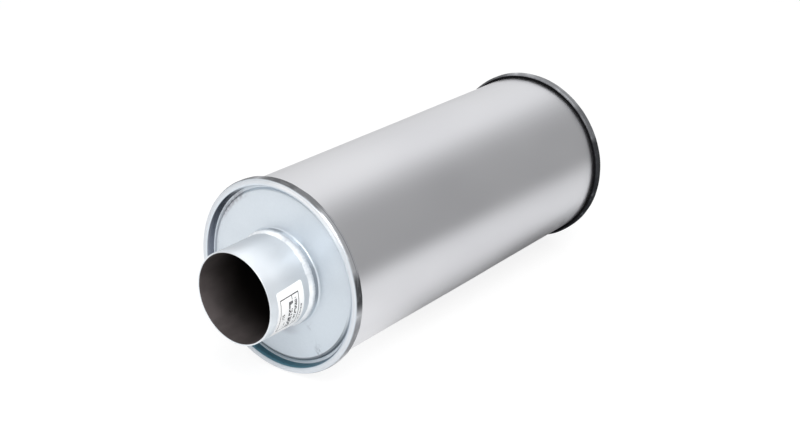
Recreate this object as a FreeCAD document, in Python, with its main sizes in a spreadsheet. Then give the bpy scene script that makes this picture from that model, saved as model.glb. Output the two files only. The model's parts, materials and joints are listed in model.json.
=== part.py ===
import FreeCAD, Part
import math
import os
import Sketcher

# Exhaust resonator: a double-wrapped round shell, two pressed end plates rolled onto it in
# lock seams, and a pipe through each end, joined inside by a perforated core tube.
# Millimetres. X runs with the gas, from the inlet at -X to the outlet at +X, and Z is up.
# The origin is on the pipes' common axis, halfway along the shell.

SIZES = [
    ("body_length", 424.0, "shell over its two rims"),
    ("shell_diameter", 180.0, "outer sheet, outside"),
    ("outer_sheet", 0.8, "outer wrap, sheet"),
    ("inner_sheet", 0.8, "inner wrap, sheet"),
    ("end_sheet", 1.4, "end plates, sheet"),
    ("seam_play", 0.1, "play between the sheets of a rim seam"),
    ("seam_depth", 9.0, "rim seam along the axis"),
    ("hook_play", 0.5, "room past the tip of each hook in the seam"),
    ("face_bend", 3.0, "rim seam, the round bends either side of its face"),
    ("back_bend", 1.4, "rim seam, the bend at its back edge"),
    ("recess_depth", 8.6, "rim face to the floor of the groove"),
    ("recess_bend", 1.2, "groove floor to recess wall"),
    ("panel_rise", 2.4, "groove floor to raised panel"),
    ("groove_width", 2.8, "recess wall to foot of the shoulder"),
    ("shoulder_run", 1.4, "radial run of the panel's shoulder"),
    ("shoulder_bend", 2.4, "round on top of the shoulder"),
    ("neck_height", 5.6, "neck lip above the panel"),
    ("neck_bend", 2.0, "panel to neck"),
    ("pipe_diameter", 88.9, "inlet and outlet pipe, outside"),
    ("pipe_wall", 1.5, "inlet and outlet pipe, wall"),
    ("pipe_reach", 55.4, "pipe mouth ahead of the rim face"),
    ("pipe_inside", 32.0, "rim face to the pipe's inner end"),
    ("mouth_chamfer", 0.3, "deburred edge of the pipe mouth"),
    ("tube_fit", 0.1, "play of a tube in a neck, sleeve or collar"),
    ("weld_leg", 5.9, "neck weld along the pipe"),
    ("weld_rise", 1.9, "neck weld up from the pipe"),
    ("weld_crown", 9.0, "radius of the weld's bulging face"),
    ("seam_weld_width", 5.2, "lengthwise weld of the outer sheet"),
    ("seam_weld_rise", 0.6, "lengthwise weld above the sheet"),
    ("core_wall", 1.2, "perforated core tube, wall"),
    ("core_play", 2.0, "end play between core tube and pipe"),
    ("sleeve_length", 30.0, "sleeve over the joint of core tube and pipe"),
    ("sleeve_wall", 1.2, "joint sleeve, wall"),
    ("hole_diameter", 9.0, "perforation"),
    ("hole_pitch", 22.0, "perforation rows along the core tube"),
    ("holes_round", 8, "holes in one row"),
    ("baffle_spacing", 100.0, "disc to disc"),
    ("baffle_sheet", 1.2, "baffle, sheet"),
    ("baffle_flange", 12.0, "turned rim of a baffle"),
    ("baffle_collar", 10.0, "collar of a baffle round the core tube"),
    ("baffle_bend", 2.2, "outer bends of a baffle"),
    ("wool_thickness", 4.0, "steel-wool wrap round the core tube"),
    ("packing_play", 0.3, "room round wool and packing"),
    ("label_width", 33.4, "label along the pipe"),
    ("label_height", 62.0, "label round the pipe, measured straight across"),
    ("label_sheet", 0.12, "label paper"),
    ("label_glue", 0.03, "glue between pipe and label"),
    ("label_corner", 2.0, "label corners"),
    ("label_gap", 4.5, "neck weld to label, at the label's middle"),
    ("label_turn_angle", 25.0, "label's middle below the side of the pipe, degrees"),
    ("label_skew_angle", 6.5, "label's lower end leaning to the shell, degrees"),
]

doc = FreeCAD.newDocument("ExhaustResonator")
sheet = doc.addObject("Spreadsheet::Sheet", "Sizes")
for row, (alias, value, meaning) in enumerate(SIZES, start=1):
    sheet.set(f"A{row}", alias)
    sheet.set(f"B{row}", str(value))
    sheet.set(f"C{row}", meaning)
    sheet.setAlias(f"B{row}", alias)
doc.recompute()


class Size:
    """A size as a number, with the formula in sheet cells that gives it."""

    def __init__(self, number, formula):
        self.number = float(number)
        self.formula = formula

    def __add__(self, other):
        other = as_size(other)
        return Size(self.number + other.number, f"({self.formula} + {other.formula})")

    def __sub__(self, other):
        other = as_size(other)
        return Size(self.number - other.number, f"({self.formula} - {other.formula})")

    def __mul__(self, other):
        other = as_size(other)
        return Size(self.number * other.number, f"({self.formula} * {other.formula})")

    def __truediv__(self, other):
        other = as_size(other)
        return Size(self.number / other.number, f"({self.formula} / {other.formula})")

    def __neg__(self):
        return Size(-self.number, f"(-{self.formula})")


def as_size(value):
    """A plain number is a size of its own."""
    return value if isinstance(value, Size) else Size(value, str(value))


def cell(alias):
    return Size(sheet.get(alias), f"Sizes.{alias}")


def bend_setback(rise, run, thickness):
    """How far a bend's vertex moves along the panel from one face of the sheet to the other."""
    number = thickness.number * math.tan(math.atan(rise.number / run.number) / 2)
    formula = f"({thickness.formula} * tan(atan({rise.formula} / {run.formula}) / 2))"
    return Size(number, formula)


def chord_level(radius, half_width):
    """Distance from a circle's centre to a chord of this half width."""
    number = math.sqrt(radius.number**2 - half_width.number**2)
    return Size(number, f"sqrt({radius.formula}^2 - {half_width.formula}^2)")


ZERO = Size(0, "0")
play = cell("seam_play")
end_sheet = cell("end_sheet")
outer_sheet = cell("outer_sheet")
inner_sheet = cell("inner_sheet")
half_length = cell("body_length") / 2
pipe_radius = cell("pipe_diameter") / 2
packing_play = cell("packing_play")

# Radii of the rim seam's layers, from the axis outwards. From inside to outside they are the end
# plate's recess wall, the inner and outer wraps' walls, the end plate's hook, the outer and inner
# wraps' hooks, and the end plate's outer wall.
shell_radius = cell("shell_diameter") / 2
outer_wrap_inside = shell_radius - outer_sheet
inner_wrap_outside = outer_wrap_inside - play
inner_wrap_inside = inner_wrap_outside - inner_sheet
recess_wall_outside = inner_wrap_inside - play
recess_radius = recess_wall_outside - end_sheet
end_hook_inside = shell_radius + play
end_hook_outside = end_hook_inside + end_sheet
outer_hook_inside = end_hook_outside + play
outer_hook_outside = outer_hook_inside + outer_sheet
inner_hook_inside = outer_hook_outside + play
inner_hook_outside = inner_hook_inside + inner_sheet
rim_wall_inside = inner_hook_outside + play
rim_radius = rim_wall_inside + end_sheet

# The same layers along the axis, from the rim's face inwards.
inner_fold_top = end_sheet + play
inner_fold_floor = inner_fold_top + inner_sheet
outer_fold_top = inner_fold_floor + play
outer_fold_floor = outer_fold_top + outer_sheet
end_hook_tip = outer_fold_floor + cell("hook_play")
end_fold_floor = cell("seam_depth") - end_sheet
wrap_hook_tip = end_fold_floor - cell("hook_play")

# The bends at the rim's face, one inside the other.
face_bend = cell("face_bend")
face_bend_inside = face_bend - end_sheet
inner_wrap_bend = face_bend_inside - play
inner_wrap_bend_inside = inner_wrap_bend - inner_sheet
outer_wrap_bend = inner_wrap_bend_inside - play

# Levels of the end plate, from the rim's face inwards.
groove_level = cell("recess_depth")
panel_level = groove_level - cell("panel_rise")
lip_level = panel_level - cell("neck_height")
neck_inside = pipe_radius + cell("tube_fit")
neck_outside = neck_inside + end_sheet
shoulder_foot = recess_radius - cell("groove_width")
shoulder_top = shoulder_foot - cell("shoulder_run")
shoulder_setback = bend_setback(cell("panel_rise"), cell("shoulder_run"), end_sheet)

# The core tube, what joins it to the pipes, and the baffles that carry it.
core_end = cell("pipe_inside") + cell("core_play")
sleeve_middle = cell("pipe_inside") + cell("core_play") / 2
sleeve_start = sleeve_middle - cell("sleeve_length") / 2
sleeve_end = sleeve_middle + cell("sleeve_length") / 2
sleeve_inside = pipe_radius + cell("tube_fit")
baffle_radius = inner_wrap_inside - play
baffle_half = cell("baffle_sheet") / 2
spacing = cell("baffle_spacing")


def new_body(name):
    body = doc.addObject("PartDesign::Body", name)
    body.Label = name
    return body


def sketch_on(body, role, name):
    """A sketch on one of the body's own origin planes."""
    plane = next(item for item in body.Origin.OriginFeatures if item.Role == role)
    sketch = body.newObject("Sketcher::SketchObject", name)
    sketch.AttachmentSupport = [(plane, "")]
    sketch.MapMode = "FlatFace"
    return sketch


def bind_constraint(sketch, constraint, label, size):
    index = sketch.addConstraint(constraint)
    sketch.renameConstraint(index, label)
    sketch.setExpression(f"Constraints.{label}", size.formula)


def pin_point(sketch, line, place, label, along, radius):
    """Tie one point of a sketch to its distance along the axis and its radius."""
    if along.formula == "0":
        sketch.addConstraint(Sketcher.Constraint("PointOnObject", line, place, -2))
    else:
        distance = Sketcher.Constraint("DistanceX", line, place, along.number)
        bind_constraint(sketch, distance, f"along_{label}", along)
    height = Sketcher.Constraint("DistanceY", line, place, radius.number)
    bind_constraint(sketch, height, f"radius_{label}", radius)


def closed_section(sketch, corners):
    """Straight lines from corner to corner, back to the first."""
    points = [FreeCAD.Vector(along.number, radius.number, 0) for along, radius in corners]
    count = len(points)
    for index, point in enumerate(points):
        sketch.addGeometry(Part.LineSegment(point, points[(index + 1) % count]), False)
    for index in range(count):
        following = (index + 1) % count
        sketch.addConstraint(Sketcher.Constraint("Coincident", index, 2, following, 1))
    for index, (along, radius) in enumerate(corners):
        pin_point(sketch, index, 1, str(index), along, radius)


def revolve(body, sketch):
    turned = body.newObject("PartDesign::Revolution", f"{body.Label}_turned")
    turned.Profile = sketch
    turned.ReferenceAxis = (sketch, ["H_Axis"])
    turned.Angle = 360
    sketch.Visibility = False
    doc.recompute()
    return turned


def circles_at(shape, corners):
    """Names of the round edges that a section's corners make."""
    names = []
    for number, edge in enumerate(shape.Edges, start=1):
        if not isinstance(edge.Curve, Part.Circle):
            continue
        for along, radius in corners:
            same_radius = abs(edge.Curve.Radius - radius.number) < 1e-4
            same_place = abs(edge.Curve.Center.x - along.number) < 1e-4
            if same_radius and same_place:
                names.append(f"Edge{number}")
                break
    return names


def round_bends(body, corners, bend, label):
    """Round the sheet's bend lines at these corners of its section."""
    base = body.Tip
    rounded = body.newObject("PartDesign::Fillet", f"{body.Label}_{label}")
    rounded.Base = (base, circles_at(base.Shape, corners))
    rounded.Radius = bend.number
    rounded.setExpression("Radius", bend.formula)
    doc.recompute()


def turned_body(name, corners):
    """A body turned from one closed section about the X axis."""
    body = new_body(name)
    sketch = sketch_on(body, "XY_Plane", f"{name}_section")
    closed_section(sketch, corners)
    revolve(body, sketch)
    return body


def place_along(item, along, faces_back=False):
    """Set a piece along the axis; one that faces back is turned end for end."""
    turn = 180 if faces_back else 0
    item.Placement = FreeCAD.Placement(
        FreeCAD.Vector(along.number, 0, 0), FreeCAD.Rotation(FreeCAD.Vector(0, 0, 1), turn)
    )
    item.setExpression("Placement.Base.x", along.formula)


def place_at_end(item, behind_rim, front):
    """Set a piece a distance behind its own end's rim face, facing out of that end."""
    along = half_length - behind_rim
    place_along(item, -along if front else along, faces_back=not front)


def at_both_ends(corners):
    """Corners at the front, and the same at the rear."""
    length = cell("body_length")
    return corners + [(length - along, radius) for along, radius in reversed(corners)]


def wrap(name, wall_inside, wall_outside, fold_top, fold_floor, hook_inside, hook_outside, bend):
    """A sheet rolled round, each end folded out and back into a hook."""
    front = [
        (fold_top, wall_inside),
        (fold_top, hook_outside),
        (wrap_hook_tip, hook_outside),
        (wrap_hook_tip, hook_inside),
        (fold_floor, hook_inside),
        (fold_floor, wall_outside),
    ]
    body = turned_body(name, at_both_ends(front))
    round_bends(body, at_both_ends(front[:2]), bend, "bends")
    place_along(body, -half_length)
    return body


def outer_wrap():
    return wrap(
        "outer_wrap", outer_wrap_inside, shell_radius, outer_fold_top, outer_fold_floor,
        outer_hook_inside, outer_hook_outside, outer_wrap_bend,
    )


def inner_wrap():
    body = wrap(
        "inner_wrap", inner_wrap_inside, inner_wrap_outside, inner_fold_top, inner_fold_floor,
        inner_hook_inside, inner_hook_outside, inner_wrap_bend,
    )
    inside = [(inner_fold_floor, inner_hook_inside), (inner_fold_floor, inner_wrap_outside)]
    round_bends(body, at_both_ends(inside), inner_wrap_bend_inside, "bends_inside")
    return body


def end_plate(name, front):
    """A pressed disc: neck, raised panel, recess, and the seam's cover and hook in one sheet."""
    panel_back = panel_level + end_sheet
    groove_back = groove_level + end_sheet
    neck_root = (panel_level, neck_outside)
    neck_root_back = (panel_back, neck_inside)
    shoulder = (panel_level, shoulder_top)
    foot = (groove_level, shoulder_foot)
    recess_corner = (groove_level, recess_radius)
    recess_corner_back = (groove_back, recess_wall_outside)
    rim_bends = [(ZERO, recess_radius), (ZERO, rim_radius)]
    rim_bends_inside = [(end_sheet, rim_wall_inside), (end_sheet, recess_wall_outside)]
    back_edge = (cell("seam_depth"), rim_radius)
    section = [
        (lip_level, neck_inside),
        (lip_level, neck_outside),
        neck_root,
        shoulder,
        foot,
        recess_corner,
        *rim_bends,
        back_edge,
        (cell("seam_depth"), end_hook_inside),
        (end_hook_tip, end_hook_inside),
        (end_hook_tip, end_hook_outside),
        (end_fold_floor, end_hook_outside),
        (end_fold_floor, rim_wall_inside),
        *rim_bends_inside,
        recess_corner_back,
        (groove_back, shoulder_foot - shoulder_setback),
        (panel_back, shoulder_top - shoulder_setback),
        neck_root_back,
    ]
    body = turned_body(name, section)
    round_bends(body, rim_bends, face_bend, "rim")
    round_bends(body, rim_bends_inside, face_bend_inside, "rim_inside")
    round_bends(body, [back_edge], cell("back_bend"), "rim_back")
    round_bends(body, [recess_corner], cell("recess_bend"), "recess")
    round_bends(body, [shoulder], cell("shoulder_bend"), "shoulder")
    round_bends(body, [neck_root], cell("neck_bend"), "neck")
    round_bends(body, [neck_root_back], cell("neck_bend") + end_sheet, "neck_back")
    place_at_end(body, ZERO, front)
    return body


def end_pipe(name, front):
    """Plain tube through the neck, its mouth deburred."""
    length = cell("pipe_reach") + cell("pipe_inside")
    bore = pipe_radius - cell("pipe_wall")
    body = turned_body(
        name, [(ZERO, bore), (ZERO, pipe_radius), (length, pipe_radius), (length, bore)]
    )
    base = body.Tip
    edge = body.newObject("PartDesign::Chamfer", f"{name}_mouth")
    edge.Base = (base, circles_at(base.Shape, [(ZERO, pipe_radius)]))
    edge.Size = cell("mouth_chamfer").number
    edge.setExpression("Size", cell("mouth_chamfer").formula)
    doc.recompute()
    place_at_end(body, -cell("pipe_reach"), front)
    return body


def neck_weld(name, front):
    """Fillet weld on the neck's lip, its face bulging between pipe and lip."""
    leg = cell("weld_leg")
    top = pipe_radius + cell("weld_rise")
    crown = cell("weld_crown")
    start = FreeCAD.Vector(0, pipe_radius.number, 0)
    finish = FreeCAD.Vector(leg.number, top.number, 0)
    chord = finish - start
    rise = crown.number - math.sqrt(crown.number**2 - (chord.Length / 2) ** 2)
    outward = FreeCAD.Vector(-chord.y, chord.x, 0).normalize()
    middle = (start + finish) / 2 + outward * rise

    body = new_body(name)
    sketch = sketch_on(body, "XY_Plane", f"{name}_section")
    root = FreeCAD.Vector(leg.number, pipe_radius.number, 0)
    sketch.addGeometry(Part.LineSegment(start, root), False)
    sketch.addGeometry(Part.LineSegment(root, finish), False)
    sketch.addGeometry(Part.Arc(finish, middle, start), False)
    arc_start, arc_finish = arc_ends(sketch, 2, finish)
    sketch.addConstraint(Sketcher.Constraint("Coincident", 0, 2, 1, 1))
    sketch.addConstraint(Sketcher.Constraint("Coincident", 1, 2, 2, arc_start))
    sketch.addConstraint(Sketcher.Constraint("Coincident", 0, 1, 2, arc_finish))
    pin_point(sketch, 0, 1, "toe", ZERO, pipe_radius)
    pin_point(sketch, 1, 1, "root", leg, pipe_radius)
    pin_point(sketch, 1, 2, "top", leg, top)
    bind_constraint(sketch, Sketcher.Constraint("Radius", 2, crown.number), "crown", crown)
    revolve(body, sketch)
    place_at_end(body, lip_level - leg, front)
    return body


def arc_ends(sketch, index, first):
    """Point numbers of an arc's ends, the one at the given place first."""
    starts_there = (sketch.Geometry[index].StartPoint - first).Length < 1e-6
    return (1, 2) if starts_there else (2, 1)


def wrap_seam_weld():
    """Shallow bead along the underside, where the outer sheet's edges meet."""
    width = cell("seam_weld_width")
    half_width = width / 2
    length = cell("body_length") - (cell("seam_depth") + play) * 2
    edge_level = chord_level(shell_radius, half_width)
    crest_level = shell_radius + cell("seam_weld_rise")
    crown_height = crest_level - edge_level
    crown = (half_width * half_width + crown_height * crown_height) / (crown_height * 2)
    left = FreeCAD.Vector(-half_width.number, -edge_level.number, 0)
    right = FreeCAD.Vector(half_width.number, -edge_level.number, 0)

    body = new_body("wrap_seam_weld")
    sketch = sketch_on(body, "YZ_Plane", "wrap_seam_weld_section")
    for level in (shell_radius, crest_level):
        lowest = FreeCAD.Vector(0, -level.number, 0)
        sketch.addGeometry(Part.Arc(left, lowest, right), False)
    shell_left, shell_right = arc_ends(sketch, 0, left)
    crest_left, crest_right = arc_ends(sketch, 1, left)
    sketch.addConstraint(Sketcher.Constraint("Coincident", 0, shell_left, 1, crest_left))
    sketch.addConstraint(Sketcher.Constraint("Coincident", 0, shell_right, 1, crest_right))
    sketch.addConstraint(Sketcher.Constraint("Coincident", 0, 3, -1, 1))
    sketch.addConstraint(Sketcher.Constraint("Symmetric", 0, shell_left, 0, shell_right, -2))
    shell_arc = Sketcher.Constraint("Radius", 0, shell_radius.number)
    bind_constraint(sketch, shell_arc, "shell", shell_radius)
    across = Sketcher.Constraint("DistanceX", 0, shell_left, 0, shell_right, width.number)
    bind_constraint(sketch, across, "width", width)
    bind_constraint(sketch, Sketcher.Constraint("Radius", 1, crown.number), "crown", crown)
    pad = body.newObject("PartDesign::Pad", "wrap_seam_weld_run")
    pad.Profile = sketch
    pad.Midplane = True
    pad.Length = length.number
    pad.setExpression("Length", length.formula)
    sketch.Visibility = False
    doc.recompute()
    return body


def ring(name, start, end, inside, outside):
    """A plain tube or annulus between two places along the axis."""
    body = turned_body(
        name,
        [(ZERO, inside), (ZERO, outside), (end - start, outside), (end - start, inside)],
    )
    place_along(body, start)
    return body


def chambers():
    """Each chamber between end plates and baffles: its start, its end, and its collars."""
    disc = baffle_half + packing_play
    collar = cell("baffle_collar") + packing_play - baffle_half
    sleeve = sleeve_end + packing_play
    wall = groove_level + end_sheet + packing_play
    return {
        "front": (wall - half_length, -spacing - disc, sleeve - half_length, -spacing - disc),
        "front_centre": (-spacing + disc, -disc, -spacing + collar, -disc),
        "rear_centre": (disc, spacing - disc, collar, spacing - collar),
        "rear": (spacing + disc, half_length - wall, spacing + disc, half_length - sleeve),
    }


def wool_and_packing():
    """Steel wool round the core tube and glass fibre round the wool, in every chamber."""
    wool_inside = pipe_radius + packing_play
    wool_outside = wool_inside + cell("wool_thickness")
    packing_inside = wool_outside + packing_play
    packing_outside = baffle_radius - cell("baffle_sheet") - packing_play
    pieces = []
    for chamber, (start, end, wool_start, wool_end) in chambers().items():
        pieces.append(
            ring(f"{chamber}_packing", start, end, packing_inside, packing_outside)
        )
        pieces.append(ring(f"{chamber}_wool", wool_start, wool_end, wool_inside, wool_outside))
    return pieces


def baffle(name, along, faces_back):
    """A flanged disc with a collar, pressed in from one sheet."""
    thickness = cell("baffle_sheet")
    collar_inside = pipe_radius + cell("tube_fit")
    collar_outside = collar_inside + thickness
    flange_inside = baffle_radius - thickness
    collar_root = (ZERO, collar_inside)
    flange_root = (ZERO, baffle_radius)
    body = turned_body(
        name,
        [
            collar_root,
            flange_root,
            (cell("baffle_flange"), baffle_radius),
            (cell("baffle_flange"), flange_inside),
            (thickness, flange_inside),
            (thickness, collar_outside),
            (cell("baffle_collar"), collar_outside),
            (cell("baffle_collar"), collar_inside),
        ],
    )
    round_bends(body, [collar_root, flange_root], cell("baffle_bend"), "bends")
    place_along(body, along + baffle_half if faces_back else along - baffle_half, faces_back)
    return body


def middle_hole_rows():
    """One row of holes in the middle of every chamber's wool."""
    return [(wool_start + wool_end) / 2 for _, _, wool_start, wool_end in chambers().values()]


def hole_sketch(body, name, rows, origin, turn):
    """One hole for each row, on a plane through the axis turned by an angle."""
    sketch = sketch_on(body, "XY_Plane", name)
    sketch.AttachmentOffset = FreeCAD.Placement(
        FreeCAD.Vector(0, 0, 0), FreeCAD.Rotation(FreeCAD.Vector(1, 0, 0), turn.number)
    )
    sketch.setExpression("AttachmentOffset.Rotation.Angle", turn.formula)
    radius = cell("hole_diameter") / 2
    for index, along in enumerate(rows):
        place = along - origin
        centre = FreeCAD.Vector(place.number, 0, 0)
        circle = Part.Circle(centre, FreeCAD.Vector(0, 0, 1), radius.number)
        sketch.addGeometry(circle, False)
        sketch.addConstraint(Sketcher.Constraint("PointOnObject", index, 3, -1))
        distance = Sketcher.Constraint("DistanceX", index, 3, place.number)
        bind_constraint(sketch, distance, f"along_{index}", place)
        size = Sketcher.Constraint("Radius", index, radius.number)
        bind_constraint(sketch, size, f"hole_{index}", radius)
    return sketch


def hole_rings(body, label, rows, origin, turn):
    """Cut the rows' holes once, then repeat them round the tube."""
    sketch = hole_sketch(body, f"core_{label}_sketch", rows, origin, turn)
    cut = body.newObject("PartDesign::Pocket", f"core_{label}_cut")
    cut.Profile = sketch
    cut.Length = pipe_radius.number * 2
    cut.setExpression("Length", (pipe_radius * 2).formula)
    cut.Reversed = True
    sketch.Visibility = False
    axis = next(item for item in body.Origin.OriginFeatures if item.Role == "X_Axis")
    around = body.newObject("PartDesign::PolarPattern", f"core_{label}_around")
    around.Originals = [cut]
    around.Axis = (axis, [""])
    around.Angle = 360
    around.Occurrences = int(cell("holes_round").number)
    around.setExpression("Occurrences", cell("holes_round").formula)
    body.Tip = around
    doc.recompute()


def core_tube():
    """Perforated tube from pipe to pipe, its middle rows set between the outer rows."""
    length = cell("body_length") - core_end * 2
    bore = pipe_radius - cell("core_wall")
    body = turned_body(
        "core_tube",
        [(ZERO, bore), (ZERO, pipe_radius), (length, pipe_radius), (length, bore)],
    )
    start = core_end - half_length
    pitch = cell("hole_pitch")
    middles = middle_hole_rows()
    outer_rows = [middle + pitch * side for middle in middles for side in (-1, 1)]
    half_step = Size(180, "180") / cell("holes_round")
    hole_rings(body, "outer_rows", outer_rows, start, ZERO)
    hole_rings(body, "middle_rows", middles, start, half_step)
    place_along(body, start)
    return body


def core_sleeve(name, front):
    """Short sleeve over the joint of a pipe and the core tube."""
    start = sleeve_start - half_length if front else half_length - sleeve_end
    end = sleeve_end - half_length if front else half_length - sleeve_start
    return ring(name, start, end, sleeve_inside, sleeve_inside + cell("sleeve_wall"))


def bound_part(kind, name, **sizes):
    """A Part primitive with its sizes tied to the sheet."""
    item = doc.addObject(kind, name)
    for prop, size in sizes.items():
        setattr(item, prop, size.number)
        item.setExpression(prop, size.formula)
    return item


def pipe_label():
    """Paper label: a rectangle with round corners, wrapped on the inlet pipe's side."""
    width = cell("label_width")
    height = cell("label_height")
    inside = pipe_radius + cell("label_glue")
    outside = inside + cell("label_sheet")
    weld_toe = lip_level - cell("weld_leg") - half_length
    label_middle = weld_toe - cell("label_gap") - width / 2
    along_x = FreeCAD.Rotation(FreeCAD.Vector(0, 1, 0), 90)

    paper = bound_part("Part::Cylinder", "label_paper", Radius=outside, Height=width * 2)
    pipe = bound_part("Part::Cylinder", "label_pipe", Radius=inside, Height=width * 2)
    for cylinder in (paper, pipe):
        cylinder.Placement = FreeCAD.Placement(FreeCAD.Vector(0, 0, 0), along_x)
        cylinder.setExpression("Placement.Base.x", (-width).formula)
    skin = doc.addObject("Part::Cut", "label_skin")
    skin.Base = paper
    skin.Tool = pipe

    block = bound_part(
        "Part::Box", "label_block", Length=width, Width=outside * 2, Height=height
    )
    block.Placement = FreeCAD.Placement(
        FreeCAD.Vector(-width.number / 2, -outside.number * 2, -height.number / 2),
        FreeCAD.Rotation(),
    )
    block.setExpression("Placement.Base.x", (-width / 2).formula)
    block.setExpression("Placement.Base.y", (-(outside * 2)).formula)
    block.setExpression("Placement.Base.z", (-height / 2).formula)
    doc.recompute()
    corner = cell("label_corner").number
    across = [
        number
        for number, edge in enumerate(block.Shape.Edges, start=1)
        if abs(edge.tangentAt(edge.FirstParameter).y) > 0.99
    ]
    cutter = doc.addObject("Part::Fillet", "label_cutter")
    cutter.Base = block
    cutter.Edges = [(number, corner, corner) for number in across]
    doc.recompute()

    label = doc.addObject("Part::Common", "pipe_label")
    label.Base = skin
    label.Tool = cutter
    label.Label = "pipe_label"
    skew = FreeCAD.Rotation(FreeCAD.Vector(0, -1, 0), cell("label_skew_angle").number)
    cutter.Placement = FreeCAD.Placement(FreeCAD.Vector(0, 0, 0), skew)
    cutter.setExpression("Placement.Rotation.Angle", cell("label_skew_angle").formula)
    turn = FreeCAD.Rotation(FreeCAD.Vector(1, 0, 0), cell("label_turn_angle").number)
    label.Placement = FreeCAD.Placement(FreeCAD.Vector(label_middle.number, 0, 0), turn)
    label.setExpression("Placement.Base.x", label_middle.formula)
    label.setExpression("Placement.Rotation.Angle", cell("label_turn_angle").formula)
    doc.recompute()
    return label


def build_parts():
    parts = [
        outer_wrap(),
        inner_wrap(),
        wrap_seam_weld(),
        end_plate("front_end_plate", front=True),
        end_plate("rear_end_plate", front=False),
        end_pipe("inlet_pipe", front=True),
        end_pipe("outlet_pipe", front=False),
        neck_weld("inlet_weld", front=True),
        neck_weld("outlet_weld", front=False),
        pipe_label(),
        core_tube(),
        core_sleeve("front_core_sleeve", front=True),
        core_sleeve("rear_core_sleeve", front=False),
        baffle("front_baffle", -spacing, faces_back=False),
        baffle("centre_baffle", ZERO, faces_back=False),
        baffle("rear_baffle", spacing, faces_back=True),
    ]
    return parts + wool_and_packing()


def check_document():
    doc.recompute()
    for item in doc.Objects:
        if "Invalid" in item.State or "Error" in item.State:
            raise RuntimeError(f"{item.Name} did not build: {item.State}")


def write_parts(parts):
    os.makedirs("parts", exist_ok=True)
    for part in parts:
        shape = part.Shape
        if shape.isNull() or not shape.isValid() or len(shape.Solids) != 1:
            raise RuntimeError(f"{part.Label} is not one sound solid")
        shape.exportStep(f"parts/{part.Label}.step")
        box = shape.optimalBoundingBox(False)
        print(
            f"{part.Label}: {shape.Volume:.0f} mm3,"
            f" x {box.XMin:.2f} to {box.XMax:.2f}, z {box.ZMin:.2f} to {box.ZMax:.2f}"
        )


parts = build_parts()
check_document()
write_parts(parts)
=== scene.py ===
import json
import math

import bmesh
import bpy
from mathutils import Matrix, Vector


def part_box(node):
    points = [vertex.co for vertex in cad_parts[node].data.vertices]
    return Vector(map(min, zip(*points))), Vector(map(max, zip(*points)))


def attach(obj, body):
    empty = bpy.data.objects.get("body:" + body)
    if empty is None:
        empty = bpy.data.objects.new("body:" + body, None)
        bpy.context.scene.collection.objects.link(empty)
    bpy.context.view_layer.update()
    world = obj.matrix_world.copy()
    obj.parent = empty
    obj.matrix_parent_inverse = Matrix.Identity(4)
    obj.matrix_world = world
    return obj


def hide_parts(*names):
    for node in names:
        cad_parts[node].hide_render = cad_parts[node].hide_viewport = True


# Exhaust resonator, dressed around its construction model. Metres, +X with the gas, +Z up.

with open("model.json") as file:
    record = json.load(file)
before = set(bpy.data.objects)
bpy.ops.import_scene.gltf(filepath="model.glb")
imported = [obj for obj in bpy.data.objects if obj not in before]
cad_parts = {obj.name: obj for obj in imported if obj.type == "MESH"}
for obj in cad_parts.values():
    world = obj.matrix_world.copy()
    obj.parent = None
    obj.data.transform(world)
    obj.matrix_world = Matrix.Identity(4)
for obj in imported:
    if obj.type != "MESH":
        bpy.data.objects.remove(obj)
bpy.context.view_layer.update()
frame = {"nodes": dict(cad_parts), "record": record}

# Levels and radii that the frame gives
plate_low, plate_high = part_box("front_end_plate")
inlet_low, inlet_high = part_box("inlet_pipe")
label_low, label_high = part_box("pipe_label")
bead_low, bead_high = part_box("wrap_seam_weld")

RIM_FACE = -plate_low.x
RIM_RADIUS = plate_high.z
PIPE_RADIUS = inlet_high.z
MOUTH_DEPTH = RIM_FACE + inlet_low.x
PIPE_END_DEPTH = RIM_FACE + inlet_high.x
FLOOR_LEVEL = plate_low.z

# Sheets and the layers of a rim seam, from the rim inwards
END_SHEET = 0.0014
WRAP_SHEET = 0.0008
LAYER_PLAY = 0.0001
SEAM_DEPTH = 0.009
FACE_BEND = 0.003
BACK_BEND = 0.0014
HOOK_ROOM = 0.0005

RIM_WALL_INSIDE = RIM_RADIUS - END_SHEET
INNER_HOOK_INSIDE = RIM_WALL_INSIDE - LAYER_PLAY - WRAP_SHEET
OUTER_HOOK_OUTSIDE = INNER_HOOK_INSIDE - LAYER_PLAY
OUTER_HOOK_INSIDE = OUTER_HOOK_OUTSIDE - WRAP_SHEET
END_HOOK_OUTSIDE = OUTER_HOOK_INSIDE - LAYER_PLAY
END_HOOK_INSIDE = END_HOOK_OUTSIDE - END_SHEET
SHELL_RADIUS = END_HOOK_INSIDE - LAYER_PLAY
SHELL_INSIDE = SHELL_RADIUS - WRAP_SHEET
RECESS_WALL_OUTSIDE = SHELL_INSIDE - LAYER_PLAY - WRAP_SHEET - LAYER_PLAY
RECESS_RADIUS = RECESS_WALL_OUTSIDE - END_SHEET

# Depths of the seam's folds behind the rim's face
OUTER_FOLD_TOP = END_SHEET + LAYER_PLAY + WRAP_SHEET + LAYER_PLAY
OUTER_FOLD_FLOOR = OUTER_FOLD_TOP + WRAP_SHEET
END_HOOK_TIP = OUTER_FOLD_FLOOR + HOOK_ROOM
END_FOLD_FLOOR = SEAM_DEPTH - END_SHEET
WRAP_HOOK_TIP = END_FOLD_FLOOR - HOOK_ROOM
FOLD_BEND = FACE_BEND - END_SHEET - WRAP_SHEET - 2 * LAYER_PLAY

# The pressed end plate, its depths counted behind the rim's face
GROOVE_DEPTH = 0.0086
PANEL_DEPTH = 0.0062
NECK_LIP_DEPTH = 0.0006
GROOVE_WIDTH = 0.0028
SHOULDER_RUN = 0.0014
RECESS_BEND = 0.0012
SHOULDER_BEND = 0.0024
NECK_BEND = 0.002
NECK_PLAY = 0.0001

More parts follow.
